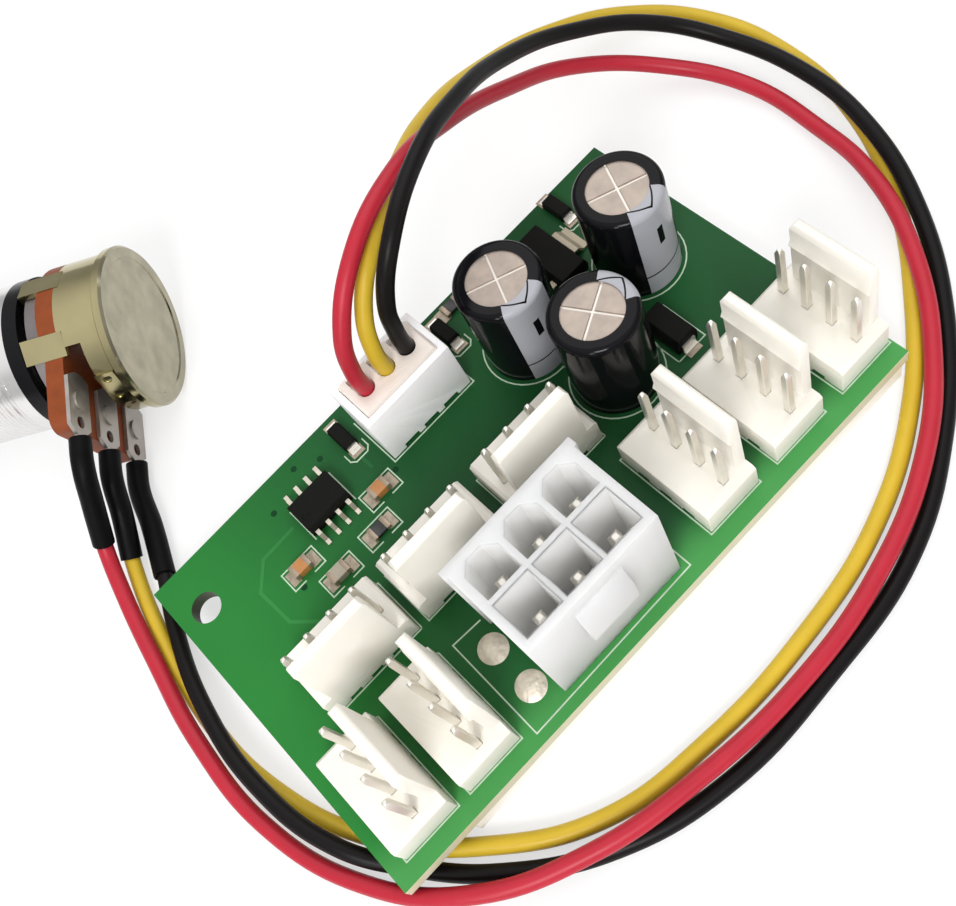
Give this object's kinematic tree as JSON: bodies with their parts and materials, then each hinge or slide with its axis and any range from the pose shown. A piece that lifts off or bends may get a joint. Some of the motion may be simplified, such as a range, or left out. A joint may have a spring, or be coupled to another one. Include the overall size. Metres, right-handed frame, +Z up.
{
  "type": "fan speed controller",
  "caption": "Small circuit board with fan headers, a power inlet and capacitors, and a knobbed potentiometer on a three-wire lead that loops round it.",
  "frame": {"origin": "middle of the foam pad's underside, on the surface that the controller lies on", "axes": "+X along the board's long side towards the end without the screw hole, +Y along its short side from the power inlet's edge towards the potentiometer's plug, +Z up, square to the board"},
  "size_m": [0.0903, 0.0922, 0.0253],
  "materials": {
    "solder_mask": "green solder mask over copper, satin gloss",
    "foam": "pale closed-cell foam, matt",
    "solder": "tin solder, bright",
    "header_nylon": "ivory moulded nylon, satin",
    "power_nylon": "natural moulded nylon, slightly translucent",
    "white_nylon": "white moulded nylon, satin",
    "tinned_pin": "tin-plated brass, bright",
    "brass_pin": "tin-flashed brass",
    "capacitor_aluminium": "drawn aluminium",
    "capacitor_sleeve": "shrunk film, glossy black with a pale grey stripe",
    "capacitor_rubber": "black sealing rubber",
    "moulding_black": "black epoxy moulding, matt",
    "ceramic_tan": "fired ceramic with tinned ends",
    "ceramic_black": "black glaze with tinned ends",
    "can_zinc": "yellow-passivated zinc on steel",
    "laminate": "brown phenolic laminate",
    "terminal_tin": "tinned brass, grey and slightly dull",
    "plate_zinc": "die-cast zinc, dull",
    "nut_nickel": "nickel plate",
    "shaft_steel": "turned metal",
    "clip_steel": "spring steel",
    "rotor_plastic": "black phenolic",
    "wiper_bronze": "phosphor bronze leaf",
    "knob_black": "black moulding, satin",
    "knob_bright": "turned and ringed, bright",
    "wire_red": "red PVC insulation",
    "wire_yellow": "yellow PVC insulation",
    "wire_black": "black PVC insulation",
    "shrink_black": "black heat-shrink, satin"
  },
  "bodies": {
    "controller": {"circuit_board": "solder_mask", "foam_pad": "foam", "solder_joints": "solder", "fan_header_1_housing": "header_nylon", "fan_header_1_pins": "tinned_pin", "fan_header_2_housing": "header_nylon", "fan_header_2_pins": "tinned_pin", "fan_header_3_housing": "header_nylon", "fan_header_3_pins": "tinned_pin", "fan_header_4_housing": "header_nylon", "fan_header_4_pins": "tinned_pin", "fan_header_5_housing": "header_nylon", "fan_header_5_pins": "tinned_pin", "fan_header_6_housing": "header_nylon", "fan_header_6_pins": "tinned_pin", "fan_header_7_housing": "header_nylon", "fan_header_7_pins": "tinned_pin", "fan_header_8_housing": "header_nylon", "fan_header_8_pins": "tinned_pin", "power_header_housing": "power_nylon", "power_header_pins": "brass_pin", "pot_header_housing": "white_nylon", "pot_header_pins": "tinned_pin", "pot_plug_housing": "white_nylon", "pot_plug_contacts": "tinned_pin", "capacitor_1_can": "capacitor_aluminium", "capacitor_1_sleeve": "capacitor_sleeve", "capacitor_2_can": "capacitor_aluminium", "capacitor_2_sleeve": "capacitor_sleeve", "capacitor_3_can": "capacitor_aluminium", "capacitor_3_sleeve": "capacitor_sleeve", "capacitor_seals": "capacitor_rubber", "capacitor_leads": "tinned_pin", "controller_chip": "moulding_black", "controller_chip_leads": "tinned_pin", "chip_capacitors": "ceramic_tan", "chip_resistors": "ceramic_black", "voltage_regulator": "moulding_black", "regulator_leads": "tinned_pin", "rectifier_diode": "moulding_black", "signal_diodes": "moulding_black", "diode_terminals": "tinned_pin", "potentiometer_can": "can_zinc", "potentiometer_wafer": "laminate", "potentiometer_terminals": "terminal_tin", "potentiometer_front_plate": "plate_zinc", "potentiometer_lock_washer": "nut_nickel", "potentiometer_nut": "nut_nickel", "wire_red": "wire_red", "wire_yellow": "wire_yellow", "wire_black": "wire_black", "sleeve_red": "shrink_black", "sleeve_yellow": "shrink_black", "sleeve_black": "shrink_black"},
    "knob_set": {"potentiometer_shaft": "shaft_steel", "potentiometer_clip": "clip_steel", "potentiometer_rotor": "rotor_plastic", "potentiometer_wiper": "wiper_bronze", "knob_core": "knob_black", "knob_shell": "knob_bright"}
  },
  "joints": [
    {"name": "knob_turn", "type": "hinge", "parent": "controller", "child": "knob_set", "pos_m": [-0.0128, 0.0394, 0.00825], "axis": [-0.809, 0.5878, 0], "range_deg": [-150, 150]}
  ]
}
